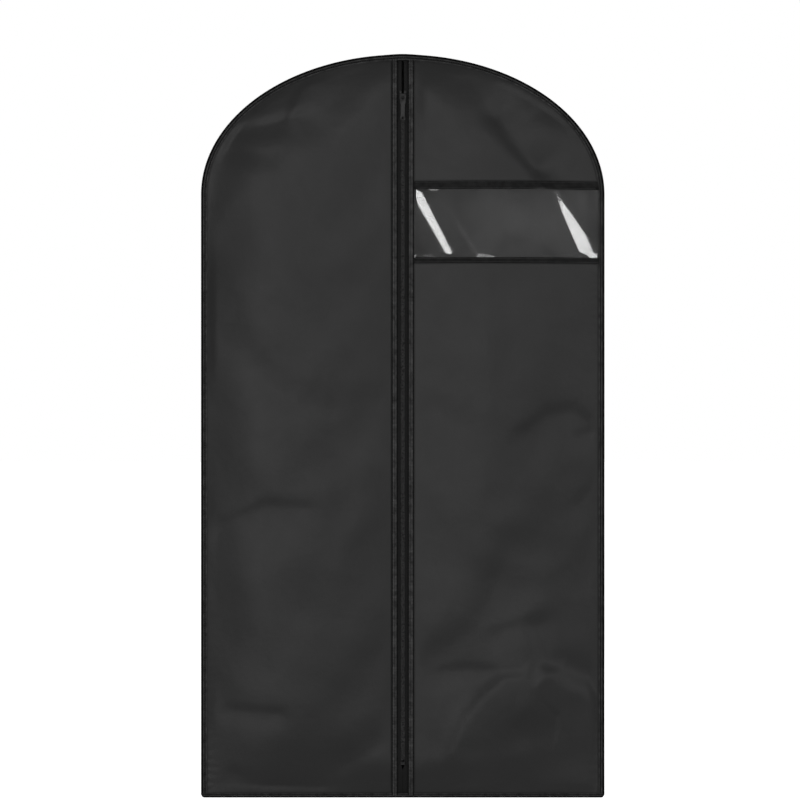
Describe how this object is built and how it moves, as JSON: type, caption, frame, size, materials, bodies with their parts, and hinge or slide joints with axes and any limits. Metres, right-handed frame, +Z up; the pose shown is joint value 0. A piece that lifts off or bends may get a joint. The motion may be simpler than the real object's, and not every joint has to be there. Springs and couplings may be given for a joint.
{
  "type": "garment bag",
  "caption": "Hanging garment bag with an arched top, a full-length front zip, a clear window strip and an open slot for a hanger hook.",
  "frame": {"origin": "middle of the hanger-hook slot at the top of the crown, in the plane of the side seams", "axes": "+Z up along the zip, +Y from front to back, +X to the right as seen from the front"},
  "size_m": [0.6, 0.0741, 1.105],
  "materials": {
    "cloth": "satin",
    "binding_tape": "matte",
    "clear_film": "gloss",
    "zip_teeth": "satin",
    "zip_stop": "satin",
    "zip_slider": "gloss",
    "pull_tab": "gloss"
  },
  "bodies": {
    "shell": {"back_panel": "cloth", "left_edge_binding": "binding_tape", "right_edge_binding": "binding_tape", "hem_binding": "binding_tape", "hook_slot_front_trim": "binding_tape", "hook_slot_back_trim": "binding_tape", "bottom_stop": "zip_stop"},
    "left_flap": {"left_front_panel": "cloth", "left_zip_facing": "binding_tape", "left_zip_tape": "binding_tape", "left_zip_teeth": "zip_teeth", "left_top_stop": "zip_stop"},
    "right_flap": {"right_upper_panel": "cloth", "right_lower_panel": "cloth", "clear_window": "clear_film", "window_top_binding": "binding_tape", "window_bottom_binding": "binding_tape", "right_zip_facing": "binding_tape", "right_zip_tape": "binding_tape", "right_zip_teeth": "zip_teeth", "right_top_stop": "zip_stop"},
    "slider": {"zip_slider": "zip_slider"},
    "pull": {"pull_tab": "pull_tab"}
  },
  "joints": [
    {"name": "zip_travel", "type": "slide", "parent": "shell", "child": "slider", "axis": [0, 0, -1], "range_m": [0, 0.9749]},
    {"name": "left_flap_fold", "type": "hinge", "parent": "shell", "child": "left_flap", "pos_m": [-0.29, -0.0009, 0], "axis": [0, 0, -1], "range_deg": [0, 48]},
    {"name": "right_flap_fold", "type": "hinge", "parent": "shell", "child": "right_flap", "pos_m": [0.29, -0.0009, 0], "axis": [0, 0, 1], "range_deg": [0, 48]},
    {"name": "pull_swing", "type": "hinge", "parent": "slider", "child": "pull", "pos_m": [0, -0.0191, -0.0663], "axis": [-1, 0, 0], "range_deg": [0, 175]}
  ],
  "couplings": [
    {"joint": "left_flap_fold", "follows": "zip_travel", "rad_per_m": 0.8414},
    {"joint": "right_flap_fold", "follows": "zip_travel", "rad_per_m": 0.8414}
  ]
}
